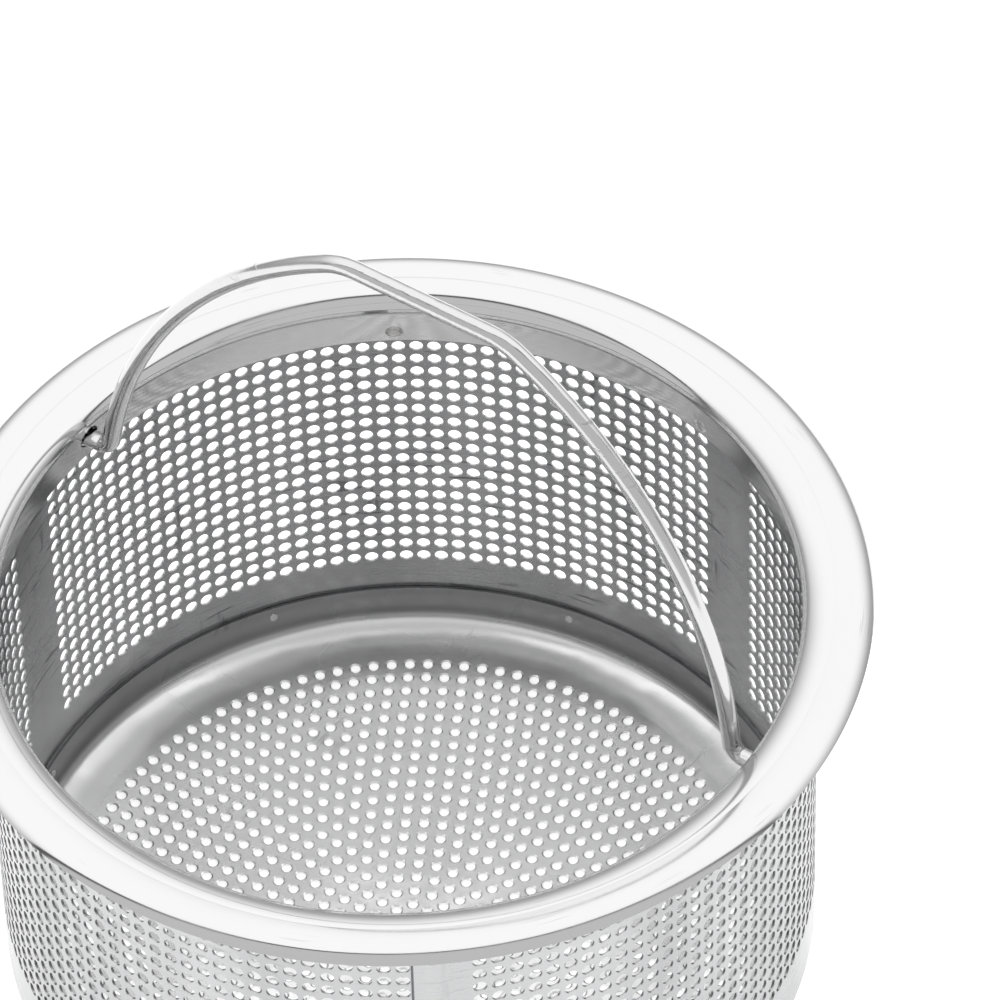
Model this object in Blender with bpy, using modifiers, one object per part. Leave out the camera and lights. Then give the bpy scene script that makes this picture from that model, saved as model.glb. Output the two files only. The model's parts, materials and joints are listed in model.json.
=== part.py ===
"""Lift-out basket strainer for a sink waste: a spun rim ring, a rolled side wall,
a pressed floor pan, the spot welds that hold them together, and a wire bail."""

import math

import bmesh
import bpy
from mathutils import Matrix, Vector

MM = 0.001

# Driving dimensions, in millimetres. Heights are measured from the underside of the floor.
RIM_RADIUS = 55.0
RIM_TOP = 59.0
RIM_SHEET = 0.6
LIP_RADIUS = 2.6
EDGE_ROLL_RADIUS = 3.0
EDGE_ROLL_ANGLE = 48.0
THROAT_RADIUS = 46.7
COLLAR_FOOT_RADIUS = 47.3
COLLAR_FOOT = 51.5

WALL_INNER_RADIUS = 48.15
WALL_SHEET = 0.35
WALL_FOOT = 3.9
WALL_TOP = 57.4
LAP_GAP = 0.3
LAP_FREE_EDGE = -54.05
LAP_INNER_EDGE = -48.5
LAP_STEP_START = -45.7
LAP_STEP_SHARE = 0.8

FLOOR_SHEET = 0.5
FLANGE_OUTER_RADIUS = 47.8
FLANGE_TOP = 6.7
FLANGE_FILLET = 3.2

WIRE = 2.2
BAIL_OFFSET = 3.6
BAIL_HEIGHT = 54.8
BAIL_LEAN = 4.0
BAIL_HALF_SPAN = 43.6
LEG_RADIUS = 59.0
LEG_START_ANGLE = 6.0
LEG_END_ANGLE = 61.4
SHOULDER_RADIUS = 8.8
FOOT_BEND_RADIUS = 1.8
PIN_REACH = 50.2
PIN_HOLE = 3.0

COLLAR_WELDS = 6
COLLAR_WELD_FIRST = 125.1
COLLAR_WELD_STEP = -49.9
COLLAR_WELD_HEIGHT = 53.0
COLLAR_WELD_SIZE = 1.9
SEAM_WELDS = 5
SEAM_WELD_FIRST = 9.0
SEAM_WELD_STEP = 10.6
SEAM_WELD_SIZE = 1.9
FLOOR_WELDS = 8
FLOOR_WELD_FIRST = 10.0
FLOOR_WELD_HEIGHT = 5.3
FLOOR_WELD_SIZE = 1.3
WELD_CLEARANCE = 0.3
WELD_PROUD = 0.15
CUTTER_REACH = 2.0

# How finely round things are stepped.
TURNS = 72
LIP_STEPS = 6
ROLL_STEPS = 4
FILLET_STEPS = 4
LAP_STEPS = 8
SHOULDER_STEPS = 5
LEG_STEPS = 14
FOOT_STEPS = 5
WIRE_ROUNDNESS = 4
WELD_SIDES = 14
PIN_HOLE_SIDES = 20
MERGE = 0.00001


def clear_scene():
    for old in list(bpy.data.objects):
        bpy.data.objects.remove(old, do_unlink=True)


def collection(name):
    made = bpy.data.collections.new(name)
    bpy.context.scene.collection.children.link(made)
    return made


def steel(name, colour, roughness):
    material = bpy.data.materials.new(name)
    material.use_nodes = True
    shader = material.node_tree.nodes["Principled BSDF"]
    shader.inputs["Base Color"].default_value = (*colour, 1.0)
    shader.inputs["Metallic"].default_value = 1.0
    shader.inputs["Roughness"].default_value = roughness
    return material


def arc(centre, radius, start, end, count):
    """Points on an arc, angles in degrees counted from +X towards the second axis."""
    points = []
    for step in range(count + 1):
        angle = math.radians(start + (end - start) * step / count)
        x = centre[0] + radius * math.cos(angle)
        y = centre[1] + radius * math.sin(angle)
        points.append((x, y))
    return points


def add_object(name, mesh, group, material):
    made = bpy.data.objects.new(name, mesh)
    made.data.materials.append(material)
    group.objects.link(made)
    return made


def turned(name, outline, group, material):
    """Turn a closed outline of (radius, height) points about Z. The outline runs down its outer side."""
    build = bmesh.new()
    corners = [build.verts.new((r * MM, 0.0, z * MM)) for r, z in outline]
    for one, two in zip(corners, corners[1:]):
        build.edges.new((one, two))
    if outline[0][0] > 0.0:
        build.edges.new((corners[-1], corners[0]))
    mesh = bpy.data.meshes.new(name)
    build.to_mesh(mesh)
    build.free()
    made = add_object(name, mesh, group, material)
    screw = made.modifiers.new("turn", "SCREW")
    screw.axis = "Z"
    screw.steps = TURNS
    screw.render_steps = TURNS
    screw.use_merge_vertices = True
    screw.merge_threshold = MERGE
    screw.use_smooth_shade = True
    return made


def radial_frame(angle, height):
    """Local +Z points away from the axis at the given polar angle, at the given height."""
    turn = Matrix.Rotation(math.radians(angle), 4, "Z")
    lift = Matrix.Translation((0.0, 0.0, height * MM))
    outward = Matrix.Rotation(math.radians(90.0), 4, "Y")
    return lift @ turn @ outward


def plug_mesh(name, places, near, far, width, domed=False):
    """Short round plugs, each along its own radial line from radius near to radius far."""
    build = bmesh.new()
    for angle, height in places:
        made = bmesh.ops.create_cone(
            build,
            cap_ends=True,
            segments=WELD_SIDES,
            radius1=width / 2 * MM,
            radius2=width / 2 * MM,
            depth=(far - near) * MM,
        )
        shift = Matrix.Translation((0.0, 0.0, (near + far) / 2 * MM))
        bmesh.ops.transform(build, matrix=radial_frame(angle, height) @ shift, verts=made["verts"])
    if domed:
        rims = [e for e in build.edges if any(len(f.verts) == WELD_SIDES for f in e.link_faces)]
        bmesh.ops.bevel(build, geom=rims, offset=WELD_PROUD * MM, segments=1, affect="EDGES")
    mesh = bpy.data.meshes.new(name)
    build.to_mesh(mesh)
    build.free()
    return mesh


def cutter(name, mesh, group):
    made = bpy.data.objects.new(name, mesh)
    made.hide_render = True
    made.display_type = "WIRE"
    group.objects.link(made)
    return made


def cut(target, tool):
    boolean = target.modifiers.new("cut_" + tool.name, "BOOLEAN")
    boolean.operation = "DIFFERENCE"
    boolean.object = tool


def collar_weld_places():
    return [(COLLAR_WELD_FIRST + n * COLLAR_WELD_STEP, COLLAR_WELD_HEIGHT) for n in range(COLLAR_WELDS)]


def seam_weld_places():
    middle = (LAP_FREE_EDGE + LAP_INNER_EDGE) / 2
    return [(middle, SEAM_WELD_FIRST + n * SEAM_WELD_STEP) for n in range(SEAM_WELDS)]


def floor_weld_places():
    return [(FLOOR_WELD_FIRST + n * 360.0 / FLOOR_WELDS, FLOOR_WELD_HEIGHT) for n in range(FLOOR_WELDS)]


def pin_hole_cutter(group):
    """One bar along the hinge line, long enough for the collar and the wall, short of the rim's edge."""
    build = bmesh.new()
    bmesh.ops.create_cone(
        build,
        cap_ends=True,
        segments=PIN_HOLE_SIDES,
        radius1=PIN_HOLE / 2 * MM,
        radius2=PIN_HOLE / 2 * MM,
        depth=2 * PIN_REACH * MM,
    )
    place = Matrix.Translation((0.0, BAIL_OFFSET * MM, BAIL_HEIGHT * MM))
    bmesh.ops.transform(build, matrix=place @ Matrix.Rotation(math.radians(90.0), 4, "Y"), verts=build.verts)
    mesh = bpy.data.meshes.new("pin_hole_bar")
    build.to_mesh(mesh)
    build.free()
    return cutter("pin_hole_bar", mesh, group)


def rim_skin(inset):
    """The rim's section from the collar's foot over the lip to the rolled edge, inset by a distance."""
    lip_centre = (THROAT_RADIUS + LIP_RADIUS, RIM_TOP - LIP_RADIUS)
    roll_width = EDGE_ROLL_RADIUS * math.sin(math.radians(EDGE_ROLL_ANGLE))
    roll_centre = (RIM_RADIUS - roll_width, RIM_TOP - EDGE_ROLL_RADIUS)
    foot = (COLLAR_FOOT_RADIUS + inset, COLLAR_FOOT)
    lip = arc(lip_centre, LIP_RADIUS - inset, 180.0, 90.0, LIP_STEPS)
    roll = arc(roll_centre, EDGE_ROLL_RADIUS - inset, 90.0, 90.0 - EDGE_ROLL_ANGLE, ROLL_STEPS)
    return [foot] + lip + roll


def make_rim(group, material, tools):
    outline = rim_skin(0.0) + rim_skin(RIM_SHEET)[::-1]
    rim = turned("rim_ring", outline, group, material)
    for tool in tools:
        cut(rim, tool)
    return rim


def wall_line():
    """The rolled sheet seen from above, as (radius, angle) from its inner edge round to its free edge."""
    middle = WALL_INNER_RADIUS + WALL_SHEET / 2
    round_run = 360.0 + LAP_INNER_EDGE - LAP_STEP_START
    line = [(middle, LAP_INNER_EDGE - round_run * n / TURNS) for n in range(TURNS + 1)]
    step_run = (LAP_STEP_START - LAP_INNER_EDGE) * LAP_STEP_SHARE
    for n in range(1, LAP_STEPS + 1):
        travel = (LAP_STEP_START - LAP_FREE_EDGE) * n / LAP_STEPS
        part = min(travel / step_run, 1.0)
        lift = (WALL_SHEET + LAP_GAP) * part * part * (3.0 - 2.0 * part)
        line.append((middle + lift, LAP_STEP_START - travel))
    return line


def make_wall(group, material, tools):
    """The sheet runs once round the axis and steps out at its end, so that its free edge laps its start."""
    build = bmesh.new()
    previous = None
    for radius, angle in wall_line():
        x = radius * MM * math.cos(math.radians(angle))
        y = radius * MM * math.sin(math.radians(angle))
        corner = build.verts.new((x, y, WALL_FOOT * MM))
        if previous:
            build.edges.new((previous, corner))
        previous = corner
    raised = bmesh.ops.extrude_edge_only(build, edges=build.edges[:])
    top = [part for part in raised["geom"] if isinstance(part, bmesh.types.BMVert)]
    bmesh.ops.translate(build, vec=(0.0, 0.0, (WALL_TOP - WALL_FOOT) * MM), verts=top)
    for face in build.faces:
        outward = Vector((face.calc_center_median().x, face.calc_center_median().y, 0.0))
        if face.normal.dot(outward) < 0.0:
            face.normal_flip()
        face.smooth = True
    mesh = bpy.data.meshes.new("side_wall")
    build.to_mesh(mesh)
    build.free()
    wall = add_object("side_wall", mesh, group, material)
    thickness = wall.modifiers.new("sheet", "SOLIDIFY")
    thickness.thickness = WALL_SHEET * MM
    thickness.offset = 0.0
    for tool in tools:
        cut(wall, tool)
    return wall


def make_floor(group, material, tools):
    """A shallow pan with an upturned flange; its underside is the lowest face of the strainer."""
    inner_radius = FLANGE_OUTER_RADIUS - FLOOR_SHEET
    centre = (FLANGE_OUTER_RADIUS - FLANGE_FILLET, FLANGE_FILLET)
    inside = [(0.0, FLOOR_SHEET)] + arc(centre, FLANGE_FILLET - FLOOR_SHEET, -90.0, 0.0, FILLET_STEPS)
    outside = arc(centre, FLANGE_FILLET, 0.0, -90.0, FILLET_STEPS) + [(0.0, 0.0)]
    outline = inside + [(inner_radius, FLANGE_TOP), (FLANGE_OUTER_RADIUS, FLANGE_TOP)] + outside
    floor = turned("floor_pan", outline, group, material)
    for tool in tools:
        cut(floor, tool)
    return floor


def bail_half():
    """Half of the wire's centre line, from the middle of the grip to the pin's end, in (x, z)."""
    a0 = math.radians(LEG_START_ANGLE)
    a1 = math.radians(LEG_END_ANGLE)
    leg_centre = (BAIL_HALF_SPAN - LEG_RADIUS * math.cos(a0), -LEG_RADIUS * math.sin(a0))
    leg_top = (leg_centre[0] + LEG_RADIUS * math.cos(a1), leg_centre[1] + LEG_RADIUS * math.sin(a1))
    shoulder_centre = (leg_top[0] - SHOULDER_RADIUS * math.cos(a1), leg_top[1] - SHOULDER_RADIUS * math.sin(a1))
    shoulder = arc(shoulder_centre, SHOULDER_RADIUS, 90.0, LEG_END_ANGLE, SHOULDER_STEPS)
    reach = LEG_RADIUS + FOOT_BEND_RADIUS
    bend_start = math.asin((FOOT_BEND_RADIUS - leg_centre[1]) / reach)
    leg = arc(leg_centre, LEG_RADIUS, LEG_END_ANGLE, math.degrees(bend_start), LEG_STEPS)[1:]
    bend_x = leg_centre[0] + reach * math.cos(bend_start)
    bend_centre = (bend_x, FOOT_BEND_RADIUS)
    bend = arc(bend_centre, FOOT_BEND_RADIUS, 180.0 + math.degrees(bend_start), 270.0, FOOT_STEPS)[1:]
    return shoulder + leg + bend + [(PIN_REACH, 0.0)]


def make_bail(group, material):
    half = bail_half()
    mirrored = [(-x, z) for x, z in reversed(half)]
    points = mirrored + half
    curve = bpy.data.curves.new("bail", "CURVE")
    curve.dimensions = "3D"
    curve.bevel_depth = WIRE / 2 * MM
    curve.bevel_resolution = WIRE_ROUNDNESS
    curve.use_fill_caps = True
    spline = curve.splines.new("POLY")
    spline.points.add(len(points) - 1)
    for point, (x, z) in zip(spline.points, points):
        point.co = (x * MM, 0.0, z * MM, 1.0)
    curve.materials.append(material)
    bail = bpy.data.objects.new("bail", curve)
    group.objects.link(bail)
    bail.location = (0.0, BAIL_OFFSET * MM, BAIL_HEIGHT * MM)
    bail.rotation_euler = (math.radians(-BAIL_LEAN), 0.0, 0.0)
    return bail


def make_welds(name, places, near, far, width, group, material):
    for number, place in enumerate(places, start=1):
        title = f"{name}_{number}"
        mesh = plug_mesh(title, [place], near - WELD_PROUD, far + WELD_PROUD, width, domed=True)
        add_object(title, mesh, group, material)


def main():
    clear_scene()
    strainer = collection("basket_strainer")
    tools = collection("cutters")

    spun = steel("spun_steel", (0.72, 0.72, 0.72), 0.18)
    rolled = steel("rolled_sheet", (0.55, 0.56, 0.57), 0.3)
    pressed = steel("pressed_sheet", (0.66, 0.66, 0.67), 0.22)
    drawn = steel("drawn_wire", (0.68, 0.68, 0.69), 0.15)
    fused = steel("weld_metal", (0.45, 0.45, 0.46), 0.4)

    slack = 2 * WELD_CLEARANCE
    wall_outer = WALL_INNER_RADIUS + WALL_SHEET
    lap_outer = wall_outer + LAP_GAP + WALL_SHEET
    collar_holes = cutter(
        "collar_weld_holes",
        plug_mesh(
            "collar_weld_holes",
            collar_weld_places(),
            THROAT_RADIUS - CUTTER_REACH,
            wall_outer + CUTTER_REACH,
            COLLAR_WELD_SIZE + slack,
        ),
        tools,
    )
    seam_holes = cutter(
        "seam_weld_holes",
        plug_mesh(
            "seam_weld_holes",
            seam_weld_places(),
            WALL_INNER_RADIUS - CUTTER_REACH,
            lap_outer + CUTTER_REACH,
            SEAM_WELD_SIZE + slack,
        ),
        tools,
    )
    floor_holes = cutter(
        "floor_weld_holes",
        plug_mesh(
            "floor_weld_holes",
            floor_weld_places(),
            FLANGE_OUTER_RADIUS - CUTTER_REACH,
            wall_outer + CUTTER_REACH,
            FLOOR_WELD_SIZE + slack,
        ),
        tools,
    )
    pin_holes = pin_hole_cutter(tools)

    make_rim(strainer, spun, [collar_holes, pin_holes])
    make_wall(strainer, rolled, [collar_holes, seam_holes, floor_holes, pin_holes])
    make_floor(strainer, pressed, [floor_holes])
    make_bail(strainer, drawn)

    collar_height = RIM_TOP - LIP_RADIUS - COLLAR_FOOT
    collar_rise = (COLLAR_WELD_HEIGHT - COLLAR_FOOT) / collar_height
    collar_inner = COLLAR_FOOT_RADIUS - (COLLAR_FOOT_RADIUS - THROAT_RADIUS) * collar_rise
    flange_inner = FLANGE_OUTER_RADIUS - FLOOR_SHEET
    at_collar = collar_weld_places()
    at_seam = seam_weld_places()
    at_floor = floor_weld_places()
    make_welds("collar_weld", at_collar, collar_inner, wall_outer, COLLAR_WELD_SIZE, strainer, fused)
    make_welds("seam_weld", at_seam, WALL_INNER_RADIUS, lap_outer, SEAM_WELD_SIZE, strainer, fused)
    make_welds("floor_weld", at_floor, flange_inner, wall_outer, FLOOR_WELD_SIZE, strainer, fused)


main()
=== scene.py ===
"""Lift-out basket strainer for a sink waste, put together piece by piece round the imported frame."""

import json
import math

import bmesh
import bpy
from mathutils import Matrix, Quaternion, Vector


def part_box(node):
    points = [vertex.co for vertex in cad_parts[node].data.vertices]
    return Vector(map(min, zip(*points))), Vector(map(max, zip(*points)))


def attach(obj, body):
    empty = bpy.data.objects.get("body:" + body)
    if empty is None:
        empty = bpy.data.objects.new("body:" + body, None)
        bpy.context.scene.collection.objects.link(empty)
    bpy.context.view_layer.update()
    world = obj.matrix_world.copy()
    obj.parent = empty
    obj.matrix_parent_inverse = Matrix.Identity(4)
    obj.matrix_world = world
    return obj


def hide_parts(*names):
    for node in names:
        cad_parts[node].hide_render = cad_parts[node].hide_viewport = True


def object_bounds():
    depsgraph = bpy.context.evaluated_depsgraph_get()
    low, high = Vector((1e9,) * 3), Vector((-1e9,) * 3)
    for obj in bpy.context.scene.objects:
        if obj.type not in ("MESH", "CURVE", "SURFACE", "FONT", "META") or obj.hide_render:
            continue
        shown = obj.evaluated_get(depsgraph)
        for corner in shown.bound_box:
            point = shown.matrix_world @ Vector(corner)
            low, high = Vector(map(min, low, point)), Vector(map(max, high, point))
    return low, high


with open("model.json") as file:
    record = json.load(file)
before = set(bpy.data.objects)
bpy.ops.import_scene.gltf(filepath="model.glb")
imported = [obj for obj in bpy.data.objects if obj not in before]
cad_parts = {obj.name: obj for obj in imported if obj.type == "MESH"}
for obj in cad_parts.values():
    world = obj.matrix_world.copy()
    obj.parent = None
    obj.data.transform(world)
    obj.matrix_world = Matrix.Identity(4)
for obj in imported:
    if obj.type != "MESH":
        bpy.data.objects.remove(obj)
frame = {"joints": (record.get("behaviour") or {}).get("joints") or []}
cad_low, cad_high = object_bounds()
MM = 0.001


# ---- Camera -------------------------------------------------------------------------------
# A long lens, a metre off, looks down into the basket across its front edge, so that the
# handle's left foot is near the picture's left side. The camera leans very slightly.
rim_low, rim_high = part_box("rim_ring")
LENS = 321.7
CAMERA_PLACE = Vector((406.3, -557.1, 825.7)) * MM
CAMERA_AIM = Vector((1.83 * MM, 18.41 * MM, rim_high.z))
CAMERA_LEAN = math.radians(-1.59)

lens_data = bpy.data.cameras.new("camera")
lens_data.lens = LENS
lens_data.sensor_width = 36.0
lens_data.clip_start = 0.05
lens_data.clip_end = 50.0
camera = bpy.data.objects.new("camera", lens_data)
bpy.context.scene.collection.objects.link(camera)
camera.location = CAMERA_PLACE
camera.rotation_mode = "QUATERNION"
sight = (CAMERA_AIM - CAMERA_PLACE).to_track_quat("-Z", "Y")
camera.rotation_quaternion = sight @ Quaternion((0.0, 0.0, 1.0), CAMERA_LEAN)
bpy.context.scene.camera = camera


# ---- Floor and light ----------------------------------------------------------------------
# A white table lit from below, in a light tent. A bright panel hangs overhead and fades down
# to the back horizon, an even front panel faces the basket, and a narrow gap parts the two.
TABLE_WIDTH = 8.0
TABLE_WHITE = (0.93, 0.93, 0.93, 1.0)
TABLE_GLOW = 0.5
PANEL_BRIGHT = 1.75
PANEL_LOW = 0.6
FRONT_BRIGHT = 0.92
GAP_DARK = 0.1
GAP_PLACE = 0.14
GAP_HALF = 0.06


def nothing_selected():
    if bpy.context.object and bpy.context.object.mode == "EDIT":
        bpy.ops.object.mode_set(mode="OBJECT")
    bpy.ops.object.select_all(action="DESELECT")


nothing_selected()
bpy.ops.mesh.primitive_plane_add(size=TABLE_WIDTH, location=(0.0, 0.0, cad_low.z))
table = bpy.context.object
table.name = "table"
paint = bpy.data.materials.new("table_white")
paint.use_nodes = True
paint_shader = paint.node_tree.nodes["Principled BSDF"]
paint_shader.inputs["Base Color"].default_value = TABLE_WHITE
paint_shader.inputs["Roughness"].default_value = 0.6
paint_shader.inputs["Emission Color"].default_value = (1.0, 1.0, 1.0, 1.0)
paint_shader.inputs["Emission Strength"].default_value = TABLE_GLOW
table.data.materials.append(paint)

studio = bpy.data.worlds.new("studio")
studio.use_nodes = True
bpy.context.scene.world = studio
air = studio.node_tree
air.nodes.clear()
direction = air.nodes.new("ShaderNodeTexCoord")


def how_far(towards):
    """How far each direction in the sky leans towards a given one."""
    facing = air.nodes.new("ShaderNodeVectorMath")
    facing.operation = "DOT_PRODUCT"
    facing.inputs[1].default_value = Vector(towards).normalized()
    air.links.new(direction.outputs["Generated"], facing.inputs[0])
    return facing.outputs["Value"]


def ramp(value, start, end, low, high):
    step = air.nodes.new("ShaderNodeMapRange")
    step.interpolation_type = "SMOOTHSTEP"
    air.links.new(value, step.inputs["Value"])
    step.inputs["From Min"].default_value = start
    step.inputs["From Max"].default_value = end
    step.inputs["To Min"].default_value = low
    step.inputs["To Max"].default_value = high
    return step.outputs["Result"]


def mixed(share, one, two):
    blend = air.nodes.new("ShaderNodeMix")
    air.links.new(share, blend.inputs["Factor"])
    for socket, value in (("A", one), ("B", two)):
        if isinstance(value, float):
            blend.inputs[socket].default_value = value
        else:
            air.links.new(value, blend.inputs[socket])
    return blend.outputs["Result"]


towards_camera = CAMERA_PLACE - CAMERA_AIM
front = how_far((towards_camera.x, towards_camera.y, 0.0))
overhead = ramp(how_far((0.0, 0.0, 1.0)), 0.0, 0.74, PANEL_LOW, PANEL_BRIGHT)
in_front = ramp(front, GAP_PLACE, GAP_PLACE + GAP_HALF, 0.0, 1.0)
before_gap = ramp(front, GAP_PLACE - GAP_HALF, GAP_PLACE - GAP_HALF / 2, 0.0, 1.0)
sky = mixed(in_front, mixed(before_gap, overhead, GAP_DARK), FRONT_BRIGHT)
glow = air.nodes.new("ShaderNodeBackground")
air.links.new(sky, glow.inputs["Strength"])
air_out = air.nodes.new("ShaderNodeOutputWorld")
air.links.new(glow.outputs["Background"], air_out.inputs["Surface"])
bpy.context.scene.view_settings.view_transform = "Standard"


# ---- Rim ring -----------------------------------------------------------------------------
# One ring spun from stainless sheet: a flat crown, a round lip that turns down into a short
# collar, and an edge bent down all round. The bail's two pins pass through its collar, and
# the spot welder has left a shallow dimple in the collar at each weld.
RIM_SHEET = 0.6 * MM
LIP_TIGHT_RADIUS = 2.0 * MM
LIP_TIGHT_TURN = math.radians(58.0)
LIP_SOFT_RADIUS = 5.4 * MM
CREASE_WIDTH = 0.1 * MM
CREASE_DEPTH = 0.016 * MM
EDGE_ROLL_RADIUS = 3.0 * MM
EDGE_ROLL = math.radians(50.0)
THROAT = 46.7 * MM
COLLAR_FOOT_RADIUS = 47.3 * MM
RIM_STEPS = 240
PIN_HOLE = 3.0 * MM
COLLAR_WELDS = [math.radians(125.1 - 49.9 * n) for n in range(6)]
COLLAR_WELD_HEIGHT = 53.0 * MM
DIMPLE = 2.1 * MM
DIMPLE_DEPTH = 0.16 * MM
DIMPLE_SIDES = 24
LIP_TIGHT_STEPS = 10
LIP_SOFT_STEPS = 8
EDGE_STEPS = 10
PIN_BAR_SIDES = 32
PIN_BAR_SHORT = 6 * MM
MERGE = 0.004 * MM
RIM_LIGHT = (0.67, 0.67, 0.67, 1.0)
RIM_SCRATCHED = (0.58, 0.58, 0.58, 1.0)
RIM_WAVE_HEIGHT = 0.012 * MM
RIM_TURNING_HEIGHT = 0.0003 * MM
hinge = Vector(frame["joints"][0]["pos_m"])


def first_point(name, place):
    """A mesh object in edit mode that holds one selected corner, ready to be drawn out."""
    nothing_selected()
    bpy.ops.mesh.primitive_plane_add(size=MM)
    made = bpy.context.object
    made.name = name
    made.data.name = name
    bpy.ops.object.mode_set(mode="EDIT")
    bpy.ops.mesh.merge(type="CENTER")
    bpy.ops.transform.translate(value=place)
    return made


def draw_line(step):
    bpy.ops.mesh.extrude_vertices_move(TRANSFORM_OT_translate={"value": step})


def draw_arc(centre, angle, steps):
    """Carry the drawn end round a centre in the upright plane, turning +Z towards +X."""
    bpy.ops.mesh.spin(steps=steps, angle=angle, center=centre, axis=(0.0, -1.0, 0.0))


def choose(piece, test):
    """Select, in edit mode, the corners whose place passes the test."""
    bpy.ops.mesh.select_mode(type="VERT")
    bpy.ops.mesh.select_all(action="DESELECT")
    live = bmesh.from_edit_mesh(piece.data)
    for corner in live.verts:
        corner.select = test(corner.co)
    live.select_flush_mode()
    bmesh.update_edit_mesh(piece.data)


def turn_round(steps):
    """Turn the drawn outline once about the basket's axis and close the seam."""
    bpy.ops.mesh.select_all(action="SELECT")
    bpy.ops.mesh.spin(steps=steps, angle=math.tau, center=(0.0, 0.0, 0.0), axis=(0.0, 0.0, 1.0))
    bpy.ops.mesh.select_all(action="SELECT")
    bpy.ops.mesh.remove_doubles(threshold=MERGE)


def apply_all(piece):
    nothing_selected()
    piece.select_set(True)
    bpy.context.view_layer.objects.active = piece
    for modifier in list(piece.modifiers):
        bpy.ops.object.modifier_apply(modifier=modifier.name)


def give_thickness(piece, thickness, offset):
    sheet = piece.modifiers.new("sheet", "SOLIDIFY")
    sheet.thickness = thickness
    sheet.offset = offset
    sheet.use_even_offset = True


def punch(piece, tool, solver="EXACT"):
    hole = piece.modifiers.new("punch", "BOOLEAN")
    hole.operation = "DIFFERENCE"
    hole.solver = solver
    hole.object = tool
    apply_all(piece)
    bpy.data.objects.remove(tool)


def join(pieces):
    nothing_selected()
    for piece in pieces:
        piece.select_set(True)
    bpy.context.view_layer.objects.active = pieces[0]
    bpy.ops.object.join()
    return pieces[0]


def shade(piece, angle):
    nothing_selected()
    piece.select_set(True)
    bpy.context.view_layer.objects.active = piece
    bpy.ops.object.shade_smooth_by_angle(angle=math.radians(angle))


def pin_bar():
    """The drill that makes both pin holes, along the bail's hinge line."""
    nothing_selected()
    bpy.ops.mesh.primitive_cylinder_add(
        vertices=PIN_BAR_SIDES,
        radius=PIN_HOLE / 2,
        depth=rim_high.x * 2 - PIN_BAR_SHORT,
        location=hinge,
        rotation=(0.0, math.radians(90.0), 0.0),
    )
    bpy.ops.object.transform_apply(location=True, rotation=True, scale=True)
    return bpy.context.object


def add_node(tree, kind, settings, values):
    made = tree.nodes.new(kind)
    for setting, value in settings.items():
        setattr(made, setting, value)
    for socket, value in values.items():
        if isinstance(value, bpy.types.NodeSocket):
            tree.links.new(value, made.inputs[socket])
        else:
            made.inputs[socket].default_value = value
    return made


def effect(name, inputs):
    """A shared effect: a vector in, a value from nought to one out, and what else steers it."""
    tree = bpy.data.node_groups.new(name, "ShaderNodeTree")
    tree.interface.new_socket("Vector", in_out="INPUT", socket_type="NodeSocketVector")
    for title, value in inputs.items():
        steer = tree.interface.new_socket(title, in_out="INPUT", socket_type="NodeSocketFloat")
        steer.default_value = value
    tree.interface.new_socket("Value", in_out="OUTPUT", socket_type="NodeSocketFloat")
    return tree, tree.nodes.new("NodeGroupInput"), tree.nodes.new("NodeGroupOutput")


def use(tree, group, vector, values):
    node = tree.nodes.new("ShaderNodeGroup")
    node.node_tree = group
    tree.links.new(vector, node.inputs["Vector"])
    for title, value in values.items():
        node.inputs[title].default_value = value
    return node.outputs["Value"]


# Grain: fine lines of uneven strength, along whichever direction the vector runs slowly in.
grain, into, out = effect("grain", {"Low": 0.3, "High": 0.7})
texture = add_node(
    grain,
    "ShaderNodeTexNoise",
    {},
    {"Vector": into.outputs["Vector"], "Scale": 1.0, "Detail": 4.0},
)
spread = add_node(
    grain,
    "ShaderNodeMapRange",
    {},
    {
        "Value": texture.outputs["Fac"],
        "From Min": into.outputs["Low"],
        "From Max": into.outputs["High"],
    },
)
grain.links.new(spread.outputs["Result"], out.inputs["Value"])

# Marks: separate short scratches, left where the grain is strongest and the patch is rubbed.
marks, into, out = effect("marks", {"Patch": 0.5})
lines = add_node(
    marks,
    "ShaderNodeTexNoise",
    {},
    {"Vector": into.outputs["Vector"], "Scale": 1.0, "Detail": 1.0},
)
thin = add_node(
    marks,
    "ShaderNodeMapRange",
    {"interpolation_type": "SMOOTHSTEP"},
    {"Value": lines.outputs["Fac"], "From Min": 0.60, "From Max": 0.70},
)
place = add_node(marks, "ShaderNodeTexCoord", {}, {})
patches = add_node(
    marks,
    "ShaderNodeTexNoise",
    {},
    {"Vector": place.outputs["Object"], "Scale": 90.0, "Detail": 2.0},
)
worn = add_node(
    marks,
    "ShaderNodeMapRange",
    {"interpolation_type": "SMOOTHSTEP"},
    {"Value": patches.outputs["Fac"], "From Min": into.outputs["Patch"], "From Max": 0.7},
)
both = add_node(
    marks,
    "ShaderNodeMath",
    {"operation": "MULTIPLY"},
    {0: thin.outputs["Result"], 1: worn.outputs["Result"]},
)
marks.links.new(both.outputs["Value"], out.inputs["Value"])

# Cloud: slow, soft unevenness, for finger smudges and for sheet that is not quite flat.
cloud, into, out = effect("cloud", {"Size": 0.02})
size = add_node(cloud, "ShaderNodeMath", {"operation": "DIVIDE"}, {0: 1.0, 1: into.outputs["Size"]})
puffs = add_node(
    cloud,
    "ShaderNodeTexNoise",
    {},
    {
        "Vector": into.outputs["Vector"],
        "Scale": size.outputs["Value"],
        "Detail": 2.0,
        "Roughness": 0.45,
    },
)
soft = add_node(
    cloud,
    "ShaderNodeMapRange",
    {"interpolation_type": "SMOOTHSTEP"},
    {"Value": puffs.outputs["Fac"], "From Min": 0.3, "From Max": 0.7},
)
cloud.links.new(soft.outputs["Result"], out.inputs["Value"])


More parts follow.
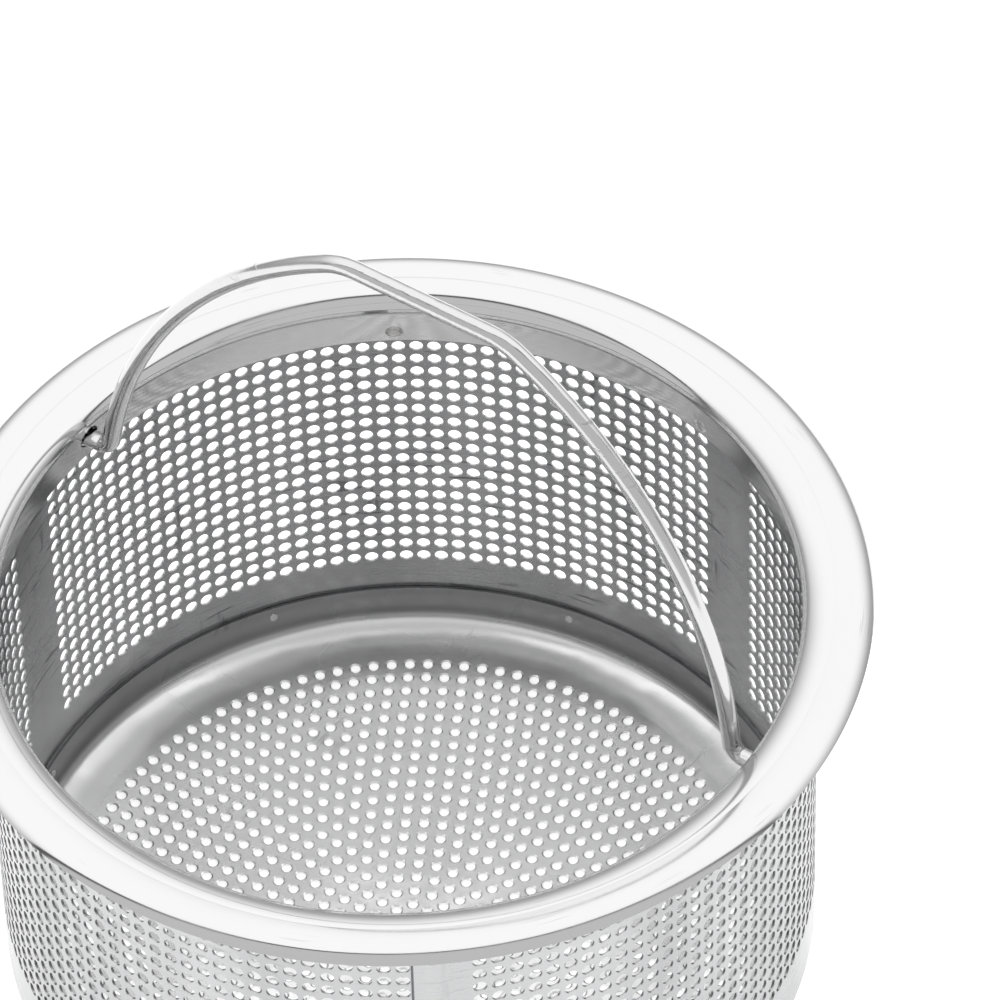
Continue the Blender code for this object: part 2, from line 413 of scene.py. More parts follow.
def new_metal(name):
    """A metal and the places on its piece: the whole vector, its three parts and the radius."""
    made = bpy.data.materials.new(name)
    made.use_nodes = True
    tree = made.node_tree
    where = tree.nodes.new("ShaderNodeTexCoord").outputs["Object"]
    parts = add_node(tree, "ShaderNodeSeparateXYZ", {}, {0: where})
    level = add_node(
        tree,
        "ShaderNodeVectorMath",
        {"operation": "MULTIPLY"},
        {0: where, 1: (1.0, 1.0, 0.0)},
    )
    radius = add_node(
        tree,
        "ShaderNodeVectorMath",
        {"operation": "LENGTH"},
        {0: level.outputs["Vector"]},
    )
    return made, tree, where, parts, radius.outputs["Value"]


def scaled(tree, x, y, z, steps):
    """A vector whose three parts run at their own number of steps per metre."""
    joined = add_node(tree, "ShaderNodeCombineXYZ", {}, {"X": x, "Y": y, "Z": z})
    run = add_node(
        tree,
        "ShaderNodeVectorMath",
        {"operation": "MULTIPLY"},
        {0: joined.outputs["Vector"], 1: steps},
    )
    return run.outputs["Vector"]


def between(tree, amount, low, high):
    run = add_node(
        tree,
        "ShaderNodeMapRange",
        {"clamp": False},
        {"Value": amount, "To Min": low, "To Max": high},
    )
    return run.outputs["Result"]


def summed(tree, one, two):
    return add_node(tree, "ShaderNodeMath", {"operation": "ADD"}, {0: one, 1: two}).outputs["Value"]


def finish_metal(made, light, dark, wear_and_shade, roughness, height):
    """Light metal that goes darker by the given share, which holds wear and painted shade, with the
    given roughness and surface height.
    """
    tree = made.node_tree
    shader = tree.nodes["Principled BSDF"]
    colour = add_node(
        tree,
        "ShaderNodeMix",
        {"data_type": "RGBA"},
        {"Factor": wear_and_shade, 6: light, 7: dark},
    )
    tree.links.new(colour.outputs[2], shader.inputs["Base Color"])
    shader.inputs["Metallic"].default_value = 1.0
    tree.links.new(roughness, shader.inputs["Roughness"])
    bump = add_node(tree, "ShaderNodeBump", {}, {"Height": height, "Strength": 1.0, "Distance": 1.0})
    tree.links.new(bump.outputs["Normal"], shader.inputs["Normal"])


def weld_dimple(depth, width, turn, height, surface):
    """A blunt round tool whose flat end reaches a little way into a surface that faces the axis."""
    nothing_selected()
    bpy.ops.mesh.primitive_cone_add(
        vertices=DIMPLE_SIDES,
        radius1=width / 2 + depth,
        radius2=width / 2 - depth,
        depth=2 * depth,
        location=(surface, 0.0, height),
        rotation=(0.0, math.radians(90.0), 0.0),
    )
    bpy.ops.object.transform_apply(location=True, rotation=True, scale=True)
    bpy.context.object.rotation_euler = (0.0, 0.0, turn)
    bpy.ops.object.transform_apply(location=True, rotation=True, scale=True)
    return bpy.context.object


collar_foot_z = rim_low.z
lip_rest = math.radians(90.0) - LIP_TIGHT_TURN
lip_rise = LIP_TIGHT_RADIUS * math.sin(LIP_TIGHT_TURN) + LIP_SOFT_RADIUS * (1.0 - math.cos(lip_rest))
lip_z = rim_high.z - lip_rise
lip_toe = THROAT + LIP_TIGHT_RADIUS * (1.0 - math.cos(LIP_TIGHT_TURN))
soft_centre = lip_toe + LIP_SOFT_RADIUS * math.sin(lip_rest)
roll_centre = rim_high.x - EDGE_ROLL_RADIUS * math.sin(EDGE_ROLL)
rim = first_point("rim", (COLLAR_FOOT_RADIUS, 0.0, collar_foot_z))
draw_line((THROAT - COLLAR_FOOT_RADIUS, 0.0, lip_z - collar_foot_z))
draw_arc((THROAT + LIP_TIGHT_RADIUS, 0.0, lip_z), LIP_TIGHT_TURN, LIP_TIGHT_STEPS)
draw_arc((soft_centre, 0.0, rim_high.z - LIP_SOFT_RADIUS), lip_rest, LIP_SOFT_STEPS)
draw_line((CREASE_WIDTH / 2, 0.0, -CREASE_DEPTH))
draw_line((CREASE_WIDTH / 2, 0.0, CREASE_DEPTH))
draw_line((roll_centre - soft_centre - CREASE_WIDTH, 0.0, 0.0))
draw_arc((roll_centre, 0.0, rim_high.z - EDGE_ROLL_RADIUS), EDGE_ROLL, EDGE_STEPS)
turn_round(RIM_STEPS)
bpy.ops.mesh.normals_make_consistent(inside=False)
bpy.ops.object.mode_set(mode="OBJECT")
give_thickness(rim, RIM_SHEET, -1.0)
apply_all(rim)
punch(rim, pin_bar())
collar_rise = (COLLAR_WELD_HEIGHT - collar_foot_z) / (lip_z - collar_foot_z)
collar_face = COLLAR_FOOT_RADIUS + (THROAT - COLLAR_FOOT_RADIUS) * collar_rise
dimples = [
    weld_dimple(DIMPLE_DEPTH, DIMPLE, turn, COLLAR_WELD_HEIGHT, collar_face)
    for turn in COLLAR_WELDS
]
punch(rim, join(dimples))
shade(rim, 35.0)

rim_steel, nodes, where, parts, radius = new_metal("rim_steel")
x, y, z = (parts.outputs[axis] for axis in "XYZ")
turning = use(nodes, grain, scaled(nodes, x, y, radius, (14.0, 14.0, 2600.0)), {})
hairlines = use(nodes, marks, scaled(nodes, x, y, radius, (110.0, 110.0, 4200.0)), {"Patch": 0.6})
smudge = use(nodes, cloud, where, {"Size": 0.018})
rough = summed(nodes, between(nodes, smudge, 0.08, 0.15), between(nodes, hairlines, 0.0, 0.05))
waves = between(nodes, use(nodes, cloud, where, {"Size": 0.012}), 0.0, RIM_WAVE_HEIGHT)
relief = summed(nodes, waves, between(nodes, turning, 0.0, RIM_TURNING_HEIGHT))
finish_metal(rim_steel, RIM_LIGHT, RIM_SCRATCHED, hairlines, rough, relief)
rim.data.materials.clear()
rim.data.materials.append(rim_steel)
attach(rim, "basket")
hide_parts("rim_ring")


# ---- Side wall ----------------------------------------------------------------------------
# A strip of thin sheet with three square fields of punched holes, rolled into a drum. Its
# free end steps out over its start, and the lap is spot-welded down the plain front strip.
WALL_SHEET = 0.3 * MM
WALL_RADIUS = 48.325 * MM
HOLE = 1.66 * MM
HOLE_SIDES = 16
COLUMN_TURN = 2.548
ROW_PITCH = 2.193 * MM
ROWS = 18
TOP_ROW = 49.54 * MM
FIELDS = ((-45.0, 44), (76.2, 43), (195.15, 44))
FREE_EDGE = -54.05
INNER_EDGE = 311.5
LAP_STEP = 0.6 * MM
JOGGLE = (0.0, 0.1, 0.4, 0.4, 0.1, 0.0, 0.0, 0.0)
END_PIECES = 2
JOIN_CUTS = 4
WALL_LIGHT = (0.56, 0.563, 0.567, 1.0)
WALL_DARK = (0.16, 0.16, 0.165, 1.0)
DULL_OUTSIDE = 0.16
# Painted shade: how much darker the inside of the drum is painted than its outside.
INSIDE_SHADE = 0.56
DULL_BANDS = 0.14
SCRATCHED_OUTSIDE = 0.22
# Painted shadow: the width and darkness of the dark line painted down the lap's free edge.
LAP_SHADOW_LINE = (0.07 * MM, 0.16 * MM)
LAP_SHADOW_DARK = 3.0
WALL_DENT = 0.03 * MM
WALL_ROLLED = 0.004 * MM
WALL_SCRATCH = 0.006 * MM
wall_low, wall_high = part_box("side_wall")
column_pitch = WALL_RADIUS * math.radians(COLUMN_TURN)


def along_strip(turn):
    """Place along the flat strip that rolls up to this angle about the basket's axis."""
    return WALL_RADIUS * math.radians(turn + 90.0)


def one_hole(name, corners, hole, sides, centre, turn=(0.0, 0.0, 0.0), drawn_in=None):
    """A flat patch with this outline and one round hole, whose edge may be drawn in and down."""
    nothing_selected()
    width, depth = drawn_in or (0.0, 0.0)
    bpy.ops.mesh.primitive_circle_add(
        vertices=sides,
        radius=hole / 2 + width,
        location=centre,
        rotation=turn,
    )
    bpy.ops.object.transform_apply(location=True, rotation=True, scale=True)
    patch = bpy.context.object
    patch.name = name
    patch.data.name = name
    bpy.ops.object.mode_set(mode="EDIT")
    live = bmesh.from_edit_mesh(patch.data)
    outline = [live.verts.new(corner) for corner in corners]
    for one, two in zip(outline, outline[1:] + outline[:1]):
        live.edges.new((one, two))
    bmesh.update_edit_mesh(patch.data)
    bpy.ops.mesh.select_all(action="SELECT")
    bpy.ops.mesh.fill(use_beauty=True)
    if drawn_in:
        reach = hole / 2 + width * 1.01
        choose(patch, lambda co: (co - Vector(centre)).length < reach)
        bpy.ops.mesh.extrude_edges_move(TRANSFORM_OT_translate={"value": (0.0, 0.0, -depth)})
        shrink = hole / 2 / (hole / 2 + width)
        bpy.ops.transform.resize(value=(shrink, shrink, 1.0), center_override=centre)
    bpy.ops.object.mode_set(mode="OBJECT")
    return patch


def repeat(piece, step, count):
    row = piece.modifiers.new("repeat", "ARRAY")
    row.use_relative_offset = False
    row.use_constant_offset = True
    row.constant_offset_displace = step
    row.count = count
    row.use_merge_vertices = True
    row.merge_threshold = 0.005 * MM


half_wide = column_pitch / 2
half_high = ROW_PITCH / 2
fields = []
for first, columns in FIELDS:
    at = Vector((along_strip(first), 0.0, TOP_ROW))
    outline = [
        (-half_wide, -half_high),
        (half_wide, -half_high),
        (half_wide, half_high),
        (-half_wide, half_high),
    ]
    corners = [at + Vector((x, 0.0, z)) for x, z in outline]
    field = one_hole("punched_field", corners, HOLE, HOLE_SIDES, at, (math.radians(90.0), 0.0, 0.0))
    repeat(field, (column_pitch, 0.0, 0.0), columns)
    repeat(field, (0.0, 0.0, -ROW_PITCH), ROWS)
    apply_all(field)
    fields.append((field, at.x - half_wide, at.x - half_wide + columns * column_pitch))
wall = join([field for field, start, end in fields])
wall.name = "wall"
wall.data.name = "wall"

near = 0.02 * MM
bpy.ops.object.mode_set(mode="EDIT")
for one, two in zip(fields, fields[1:]):
    choose(wall, lambda co: abs(co.x - one[2]) < near or abs(co.x - two[1]) < near)
    bpy.ops.mesh.bridge_edge_loops(number_cuts=JOIN_CUTS, interpolation="LINEAR")
strip_end = fields[-1][2]
choose(wall, lambda co: abs(co.x - strip_end) < near)
end_travel = (along_strip(INNER_EDGE) - strip_end) / END_PIECES
for _ in range(END_PIECES):
    bpy.ops.mesh.extrude_edges_move(TRANSFORM_OT_translate={"value": (end_travel, 0.0, 0.0)})
strip_start = fields[0][1]
choose(wall, lambda co: abs(co.x - strip_start) < near)
travel = (along_strip(FREE_EDGE) - strip_start) / len(JOGGLE)
for share in JOGGLE:
    step = (travel, -LAP_STEP * share, 0.0)
    bpy.ops.mesh.extrude_edges_move(TRANSFORM_OT_translate={"value": step})
field_top = TOP_ROW + half_high
field_foot = TOP_ROW - (ROWS - 0.5) * ROW_PITCH
choose(wall, lambda co: abs(co.z - field_top) < near)
rise = (0.0, 0.0, wall_high.z - field_top)
bpy.ops.mesh.extrude_edges_move(TRANSFORM_OT_translate={"value": rise})
choose(wall, lambda co: abs(co.z - field_foot) < near)
drop = (0.0, 0.0, wall_low.z - field_foot)
bpy.ops.mesh.extrude_edges_move(TRANSFORM_OT_translate={"value": drop})
bpy.ops.mesh.select_all(action="SELECT")
bpy.ops.mesh.remove_doubles(threshold=MERGE)
bpy.ops.mesh.normals_make_consistent(inside=False)
live = bmesh.from_edit_mesh(wall.data)
live.faces.ensure_lookup_table()
if live.faces[0].normal.y > 0.0:
    bpy.ops.mesh.flip_normals()
bpy.ops.object.mode_set(mode="OBJECT")
give_thickness(wall, WALL_SHEET, 0.0)
roll = wall.modifiers.new("roll", "SIMPLE_DEFORM")
roll.deform_method = "BEND"
roll.deform_axis = "Z"
roll.angle = math.radians(INNER_EDGE - FREE_EDGE)
apply_all(wall)
bpy.ops.object.mode_set(mode="EDIT")
bpy.ops.mesh.select_all(action="SELECT")
bpy.ops.transform.translate(value=(0.0, -WALL_RADIUS, 0.0))
bpy.ops.object.mode_set(mode="OBJECT")
punch(wall, pin_bar(), "FAST")
shade(wall, 35.0)

wall_steel, nodes, where, parts, radius = new_metal("wall_sheet")
x, y, z = (parts.outputs[axis] for axis in "XYZ")
rolled = use(nodes, grain, scaled(nodes, x, y, z, (40.0, 40.0, 1800.0)), {"Low": 0.25, "High": 0.75})
scuffs = use(nodes, marks, scaled(nodes, x, y, z, (160.0, 160.0, 1700.0)), {"Patch": 0.45})
scrapes = use(nodes, marks, scaled(nodes, x, y, z, (900.0, 900.0, 120.0)), {"Patch": 0.55})
bands = use(nodes, grain, scaled(nodes, x, y, z, (75.0, 75.0, 6.0)), {"Low": 0.32, "High": 0.68})
smudge = use(nodes, cloud, where, {"Size": 0.015})
worn = summed(nodes, between(nodes, scuffs, 0.0, 0.7), between(nodes, scrapes, 0.0, 0.35))

# A dark line of painted shadow runs down the lap's free edge, on the outer of the two sheets only:
# the shade of the gap under that edge.
free_turn = math.radians(FREE_EDGE)
free_edge = Vector((math.cos(free_turn), math.sin(free_turn), 0.0))
beside_edge = (-free_edge.y, free_edge.x, 0.0)
lap_face = WALL_RADIUS + 0.1 * MM
dot = {"operation": "DOT_PRODUCT"}
along = add_node(nodes, "ShaderNodeVectorMath", dot, {0: where, 1: free_edge}).outputs["Value"]
across = add_node(nodes, "ShaderNodeVectorMath", dot, {0: where, 1: beside_edge}).outputs["Value"]
outer_side = add_node(
    nodes,
    "ShaderNodeMath",
    {"operation": "GREATER_THAN"},
    {0: along, 1: lap_face},
).outputs["Value"]
beside = add_node(nodes, "ShaderNodeMath", {"operation": "ABSOLUTE"}, {0: across}).outputs["Value"]
edge_line = add_node(
    nodes,
    "ShaderNodeMapRange",
    {},
    {
        "Value": beside,
        "From Min": LAP_SHADOW_LINE[0],
        "From Max": LAP_SHADOW_LINE[1],
        "To Min": LAP_SHADOW_DARK,
        "To Max": 0.0,
    },
).outputs["Result"]
times = {"operation": "MULTIPLY"}
# Painted shadow down the lap's free edge, on the outer sheet only.
lap_shadow = add_node(nodes, "ShaderNodeMath", times, {0: outer_side, 1: edge_line}).outputs["Value"]

# The sheet is more scratched on its inside and has painted shade there, darker inside than out, and
# it is a little uneven along the roll.
inside = add_node(
    nodes,
    "ShaderNodeMath",
    {"operation": "LESS_THAN"},
    {0: radius, 1: WALL_RADIUS},
).outputs["Value"]
kept = between(nodes, inside, SCRATCHED_OUTSIDE, 1.0)
rubbed = add_node(nodes, "ShaderNodeMath", times, {0: worn, 1: kept}).outputs["Value"]
uneven = between(nodes, bands, DULL_BANDS, -DULL_BANDS)
# Painted shade: the inside of the drum is painted darker than the outside.
tone_and_inside_shade = between(nodes, inside, DULL_OUTSIDE, INSIDE_SHADE)
tone_shade_and_wear = summed(nodes, summed(nodes, tone_and_inside_shade, uneven), rubbed)
dark = summed(nodes, tone_shade_and_wear, lap_shadow)
rough = summed(nodes, between(nodes, smudge, 0.16, 0.28), between(nodes, rolled, -0.03, 0.05))
dents = between(nodes, use(nodes, cloud, where, {"Size": 0.009}), 0.0, WALL_DENT)
rolled_lines = between(nodes, rolled, 0.0, WALL_ROLLED)
scratch_lines = between(nodes, rubbed, 0.0, WALL_SCRATCH)
relief = summed(nodes, dents, summed(nodes, rolled_lines, scratch_lines))
finish_metal(wall_steel, WALL_LIGHT, WALL_DARK, dark, rough, relief)
wall.data.materials.clear()
wall.data.materials.append(wall_steel)
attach(wall, "basket")
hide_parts("side_wall")


# ---- Floor pan ----------------------------------------------------------------------------
# A shallow pan pressed from sheet. Its holes are punched on rings, six more to each ring, and
# its edge turns up through a bright round corner into a flange that is welded to the wall.
FLOOR_SHEET = 0.4 * MM
FLOOR_HOLE = 1.4 * MM
FLOOR_HOLE_SIDES = 12
DRAWN_IN = (0.17 * MM, 0.09 * MM)
BURR = 0.1 * MM
RING_PITCH = 2.14 * MM
RINGS = 19
FIRST_HOLE = math.radians(118.2)
PLAIN_RING_START = 42.4 * MM
SOFT_RADIUS = 9.0 * MM
SOFT_TURN = math.radians(28.0)
CORNER_RADIUS = 1.6 * MM
FLARE = 0.3 * MM
FLARE_HEIGHT = 1.2 * MM
FLARE_SHARE = 0.6
SOFT_STEPS = 6
CORNER_STEPS = 8
PAN_STEPS = 144
MIDDLE_CORNERS = 18
FLOOR_LIGHT = (0.80, 0.80, 0.80, 1.0)
FLOOR_DARK = (0.24, 0.24, 0.245, 1.0)
# Painted shade on the flange: how dark it goes, and the heights where it starts and is full.
FLANGE_SHADE = 0.9
FLANGE_SHADE_FROM = 1.7 * MM
FLANGE_SHADE_TO = 3.6 * MM
FLOOR_HOLLOW = 0.09 * MM
FLOOR_ROLLED = 0.0025 * MM
pan_low, pan_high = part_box("floor_pan")
skin_z = pan_low.z + BURR + FLOOR_SHEET / 2
seam_slack = 0.1 * MM


def on_ring(radius, turn):
    return Vector((radius * math.cos(turn), radius * math.sin(turn), skin_z))


def hole_ring(ring):
    """One ring of six times its number of holes, each in its own slice of the ring."""
    count = 6 * ring
    slice_turn = math.tau / count
    inner = (ring - 0.5) * RING_PITCH + seam_slack
    outer = (ring + 0.5) * RING_PITCH - seam_slack
    start = FIRST_HOLE - slice_turn / 2
    end = FIRST_HOLE + slice_turn / 2
    parts = 1 + 5 // ring
    turns = [start + (end - start) * n / parts for n in range(parts + 1)]
    corners = [on_ring(inner, turn) for turn in reversed(turns)]
    corners += [on_ring(outer, turn) for turn in turns]
    centre = on_ring(ring * RING_PITCH, FIRST_HOLE)
    made = one_hole("hole_ring", corners, FLOOR_HOLE, FLOOR_HOLE_SIDES, centre, drawn_in=DRAWN_IN)
    bpy.ops.object.mode_set(mode="EDIT")
    bpy.ops.mesh.select_all(action="SELECT")
    bpy.ops.mesh.spin(
        steps=count - 1,
        dupli=True,
        angle=math.tau - slice_turn,
        center=(0.0, 0.0, 0.0),
        axis=(0.0, 0.0, 1.0),
    )
    bpy.ops.mesh.select_all(action="SELECT")
    bpy.ops.mesh.remove_doubles(threshold=MERGE)
    bpy.ops.object.mode_set(mode="OBJECT")
    return made


corner_turn = math.tau / MIDDLE_CORNERS
middle_radius = RING_PITCH / 2 - seam_slack
corners = [on_ring(middle_radius, FIRST_HOLE + corner_turn * n) for n in range(MIDDLE_CORNERS)]
centre = Vector((0.0, 0.0, skin_z))
middle = one_hole("hole_ring", corners, FLOOR_HOLE, FLOOR_HOLE_SIDES, centre, drawn_in=DRAWN_IN)
rings = [hole_ring(ring) for ring in range(1, RINGS + 1)]

flange_mid = pan_high.x - FLOOR_SHEET / 2
corner_centre = flange_mid - CORNER_RADIUS
soft_start = corner_centre + CORNER_RADIUS * math.sin(SOFT_TURN) - SOFT_RADIUS * math.sin(SOFT_TURN)
corner_z = skin_z + SOFT_RADIUS * (1.0 - math.cos(SOFT_TURN)) + CORNER_RADIUS * math.cos(SOFT_TURN)
edge = first_point("pan_edge", (PLAIN_RING_START, 0.0, skin_z))
draw_line((soft_start - PLAIN_RING_START, 0.0, 0.0))
draw_arc((soft_start, 0.0, skin_z + SOFT_RADIUS), -SOFT_TURN, SOFT_STEPS)
draw_arc((corner_centre, 0.0, corner_z), SOFT_TURN - math.radians(90.0), CORNER_STEPS)
draw_line((0.0, 0.0, pan_high.z - corner_z - FLARE_HEIGHT))
draw_line((FLARE * FLARE_SHARE, 0.0, FLARE_HEIGHT / 2))
draw_line((FLARE * (1.0 - FLARE_SHARE), 0.0, FLARE_HEIGHT / 2))
turn_round(PAN_STEPS)
bpy.ops.object.mode_set(mode="OBJECT")

pan = join([middle] + rings + [edge])
pan.name = "pan"
pan.data.name = "pan"
bpy.ops.object.mode_set(mode="EDIT")
for ring in range(RINGS + 1):
    inside = (ring + 0.5) * RING_PITCH - seam_slack
    outside = inside + 2 * seam_slack if ring < RINGS else PLAIN_RING_START
    choose(pan, lambda co: min(abs(co.xy.length - seam) for seam in (inside, outside)) < near)
    bpy.ops.mesh.fill(use_beauty=True)
bpy.ops.mesh.select_all(action="SELECT")
bpy.ops.mesh.normals_make_consistent(inside=False)
bpy.ops.object.mode_set(mode="OBJECT")
give_thickness(pan, FLOOR_SHEET, 0.0)
apply_all(pan)
shade(pan, 20.0)

floor_steel, nodes, where, parts, radius = new_metal("floor_sheet")
x, y, z = (parts.outputs[axis] for axis in "XYZ")
rolled = use(nodes, grain, scaled(nodes, x, y, z, (60.0, 1500.0, 60.0)), {"Low": 0.25, "High": 0.75})
scuffs = use(nodes, marks, scaled(nodes, x, y, z, (1300.0, 200.0, 200.0)), {"Patch": 0.55})
smudge = use(nodes, cloud, where, {"Size": 0.02})

# The flange reads darker than the floor, so it gets painted shade, darkened by its height above the
# round corner.
flange = add_node(
    nodes,
    "ShaderNodeMapRange",
    {"interpolation_type": "SMOOTHSTEP"},
    {
        "Value": z,
        "From Min": FLANGE_SHADE_FROM,
        "From Max": FLANGE_SHADE_TO,
        "To Max": FLANGE_SHADE,
    },
).outputs["Result"]
# Painted shade on the flange, added to real scuffs.
shade_and_scuffs = summed(nodes, flange, between(nodes, scuffs, 0.0, 0.3))
rough = summed(nodes, between(nodes, smudge, 0.22, 0.32), between(nodes, scuffs, 0.0, 0.1))
hollows = between(nodes, use(nodes, cloud, where, {"Size": 0.010}), 0.0, FLOOR_HOLLOW)
relief = summed(nodes, hollows, between(nodes, rolled, 0.0, FLOOR_ROLLED))
finish_metal(floor_steel, FLOOR_LIGHT, FLOOR_DARK, shade_and_scuffs, rough, relief)
pan.data.materials.clear()
pan.data.materials.append(floor_steel)
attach(pan, "basket")
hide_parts("floor_pan")


# ---- Bail ---------------------------------------------------------------------------------
# One polished round wire, bent to a straight grip, two shoulders and two curved legs. Each
# leg ends in a tight outward bend, and that end is the pin that turns in the collar.
WIRE = 2.2 * MM
WIRE_SIDES = 24
LEG_RADIUS = 59.0 * MM
HALF_SPAN = 43.6 * MM
LEG_START = math.radians(6.0)
LEG_END = math.radians(61.4)
SHOULDER_RADIUS = 8.8 * MM
FOOT_BEND = 1.8 * MM
PIN_END = 50.2 * MM
LEAN = math.radians(4.0)
SHOULDER_STEPS = 8
LEG_STEPS = 40
FOOT_STEPS = 10
PIN_PRESSED = (1.0, 1.12, 0.82)
BAIL_LIGHT = (0.62, 0.62, 0.62, 1.0)
BAIL_NICKED = (0.42, 0.42, 0.42, 1.0)
BAIL_DRAWN = 0.012 * MM
BAIL_NICK = 0.02 * MM


def upright(turn):
    """A direction in the bail's own plane, turned up from +X."""
    return Vector((math.cos(turn), 0.0, math.sin(turn)))


leg_centre = Vector((HALF_SPAN, 0.0, 0.0)) - LEG_RADIUS * upright(LEG_START)
leg_top = leg_centre + LEG_RADIUS * upright(LEG_END)
shoulder_centre = leg_top - SHOULDER_RADIUS * upright(LEG_END)
foot_turn = math.asin((FOOT_BEND - leg_centre.z) / (LEG_RADIUS + FOOT_BEND))
foot_centre = leg_centre + (LEG_RADIUS + FOOT_BEND) * upright(foot_turn)

nothing_selected()
grip_z = shoulder_centre.z + SHOULDER_RADIUS
bpy.ops.mesh.primitive_circle_add(
    vertices=WIRE_SIDES,
    radius=WIRE / 2,
    location=(0.0, 0.0, grip_z),
    rotation=(0.0, math.radians(90.0), 0.0),
)
bpy.ops.object.transform_apply(location=True, rotation=True, scale=True)
bail = bpy.context.object
bail.name = "bail_wire"
bail.data.name = "bail_wire"
bpy.ops.object.mode_set(mode="EDIT")
half_grip = (shoulder_centre.x, 0.0, 0.0)
bpy.ops.mesh.extrude_edges_move(TRANSFORM_OT_translate={"value": half_grip})
draw_arc(shoulder_centre, math.radians(90.0) - LEG_END, SHOULDER_STEPS)
draw_arc(leg_centre, LEG_END - foot_turn, LEG_STEPS)
draw_arc(foot_centre, foot_turn - math.radians(90.0), FOOT_STEPS)
pin = (PIN_END - foot_centre.x, 0.0, 0.0)
bpy.ops.mesh.extrude_edges_move(TRANSFORM_OT_translate={"value": pin})
bpy.ops.mesh.edge_face_add()
choose(bail, lambda co: co.x > foot_centre.x - FOOT_BEND * 0.2 and co.z < WIRE)
bpy.ops.transform.resize(value=PIN_PRESSED, center_override=(0.0, 0.0, 0.0))
bpy.ops.object.mode_set(mode="OBJECT")
other_half = bail.modifiers.new("other_half", "MIRROR")
other_half.merge_threshold = 0.005 * MM
apply_all(bail)
bpy.ops.object.mode_set(mode="EDIT")
bpy.ops.mesh.select_all(action="SELECT")
bpy.ops.mesh.normals_make_consistent(inside=False)
bpy.ops.object.mode_set(mode="OBJECT")
bail.rotation_euler = (-LEAN, 0.0, 0.0)
bail.location = hinge
bpy.ops.object.transform_apply(location=True, rotation=True, scale=True)
shade(bail, 50.0)

bail_steel, nodes, where, parts, radius = new_metal("bail_wire")
x, y, z = (parts.outputs[axis] for axis in "XYZ")
side = add_node(nodes, "ShaderNodeMath", {"operation": "ABSOLUTE"}, {0: x}).outputs["Value"]
in_plane = scaled(nodes, side, 0.0, z, (1.0, 0.0, 1.0))
bow = add_node(
    nodes,
    "ShaderNodeVectorMath",
    {"operation": "DISTANCE"},
    {0: in_plane, 1: (leg_centre.x, 0.0, leg_centre.z + hinge.z)},
).outputs["Value"]
drawn = use(nodes, grain, scaled(nodes, bow, y, z, (2200.0, 2200.0, 60.0)), {"Low": 0.3, "High": 0.7})
nicks = use(nodes, marks, scaled(nodes, bow, y, z, (500.0, 500.0, 1600.0)), {"Patch": 0.56})
smudge = use(nodes, cloud, where, {"Size": 0.008})
rough = summed(nodes, between(nodes, smudge, 0.10, 0.18), between(nodes, nicks, 0.0, 0.15))
relief = summed(nodes, between(nodes, drawn, 0.0, BAIL_DRAWN), between(nodes, nicks, 0.0, -BAIL_NICK))
finish_metal(bail_steel, BAIL_LIGHT, BAIL_NICKED, nicks, rough, relief)
bail.data.materials.clear()
bail.data.materials.append(bail_steel)
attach(bail, "bail")
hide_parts("bail")


# ---- Welds --------------------------------------------------------------------------------
# Nineteen spot welds: little round buttons of fused metal that tie the rim's collar to the
# wall, the wall's lap to itself and the pan's flange to the wall. Each stands a hair proud.
WELD_SIDES = 28
WELD_PROUD = 0.13 * MM
WELD_WIDTH = 1.9 * MM
FLOOR_WELD_PROUD = 0.02 * MM
FLOOR_WELD_WIDTH = 1.3 * MM
WELD_DOME = ((0.22, 0.12), (0.14, 0.35), (0.10, 0.9), (0.04, 1.6))
WELD_LIGHT = (0.64, 0.635, 0.63, 1.0)
WELD_DARK = (0.50, 0.49, 0.48, 1.0)
WELD_SKIN = 0.03 * MM
WALL_INSIDE = WALL_RADIUS - WALL_SHEET / 2
WALL_OUTSIDE = WALL_RADIUS + WALL_SHEET / 2
SEAM_TURN = math.radians((FREE_EDGE + INNER_EDGE - 360.0) / 2)
SEAM_HEIGHTS = [(9.0 + 10.6 * n) * MM for n in range(5)]
FLOOR_WELD_TURNS = [math.radians(10.0 + 45.0 * n) for n in range(8)]
FLOOR_WELD_HEIGHT = 5.3 * MM

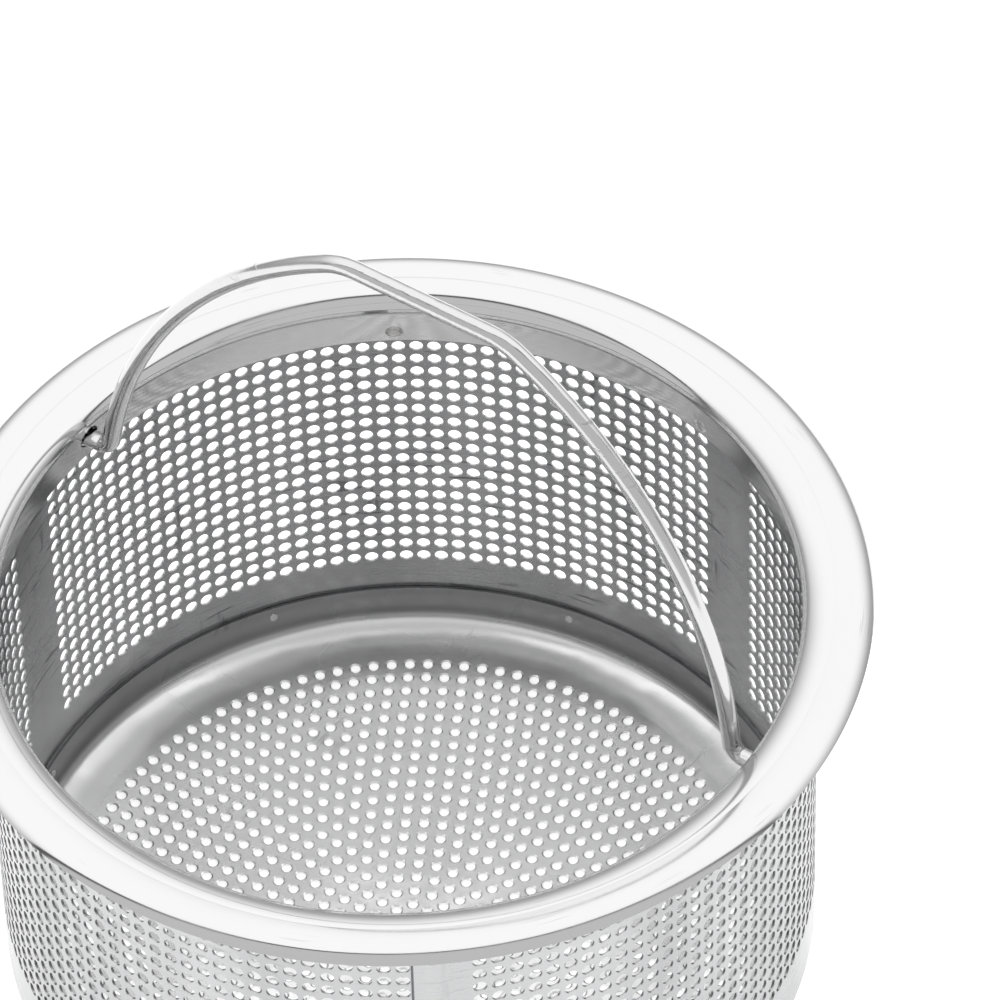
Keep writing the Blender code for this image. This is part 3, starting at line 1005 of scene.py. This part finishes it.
weld_steel, nodes, where, parts, radius = new_metal("weld_metal")
skin = use(nodes, cloud, where, {"Size": 0.0011})
tint = use(nodes, cloud, where, {"Size": 0.004})
rough = between(nodes, skin, 0.14, 0.34)
finish_metal(weld_steel, WELD_LIGHT, WELD_DARK, tint, rough, between(nodes, skin, 0.0, WELD_SKIN))


def spot_weld(name, inner, outer, width, turn, height, proud=WELD_PROUD):
    """One button, turned about its own line and laid through the sheets, domed at each end."""
    weld = first_point(name, (0.0, 0.0, inner - proud))
    for out, along in WELD_DOME:
        draw_line((width * out, 0.0, proud * along))
    dome_height = proud * sum(along for out, along in WELD_DOME)
    draw_line((0.0, 0.0, outer - inner + 2.0 * proud - 2.0 * dome_height))
    for out, along in reversed(WELD_DOME):
        draw_line((-width * out, 0.0, proud * along))
    turn_round(WELD_SIDES)
    bpy.ops.mesh.normals_make_consistent(inside=False)
    bpy.ops.object.mode_set(mode="OBJECT")
    weld.rotation_euler = (0.0, math.radians(90.0), 0.0)
    bpy.ops.object.transform_apply(location=True, rotation=True, scale=True)
    weld.rotation_euler = (0.0, 0.0, turn)
    weld.location = (0.0, 0.0, height)
    bpy.ops.object.transform_apply(location=True, rotation=True, scale=True)
    shade(weld, 60.0)
    weld.data.materials.clear()
    weld.data.materials.append(weld_steel)
    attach(weld, "basket")
    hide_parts(name)


dimple_floor = collar_face + DIMPLE_DEPTH * 0.6
lap_outside = WALL_OUTSIDE + LAP_STEP
flange_inside = pan_high.x - FLOOR_SHEET
for number, turn in enumerate(COLLAR_WELDS, start=1):
    name = f"collar_weld_{number}"
    spot_weld(name, dimple_floor, WALL_OUTSIDE, WELD_WIDTH, turn, COLLAR_WELD_HEIGHT)
for number, height in enumerate(SEAM_HEIGHTS, start=1):
    name = f"seam_weld_{number}"
    spot_weld(name, WALL_INSIDE, lap_outside, WELD_WIDTH, SEAM_TURN, height)
for number, turn in enumerate(FLOOR_WELD_TURNS, start=1):
    name = f"floor_weld_{number}"
    spot_weld(
        name,
        flange_inside,
        WALL_OUTSIDE,
        FLOOR_WELD_WIDTH,
        turn,
        FLOOR_WELD_HEIGHT,
        FLOOR_WELD_PROUD,
    )
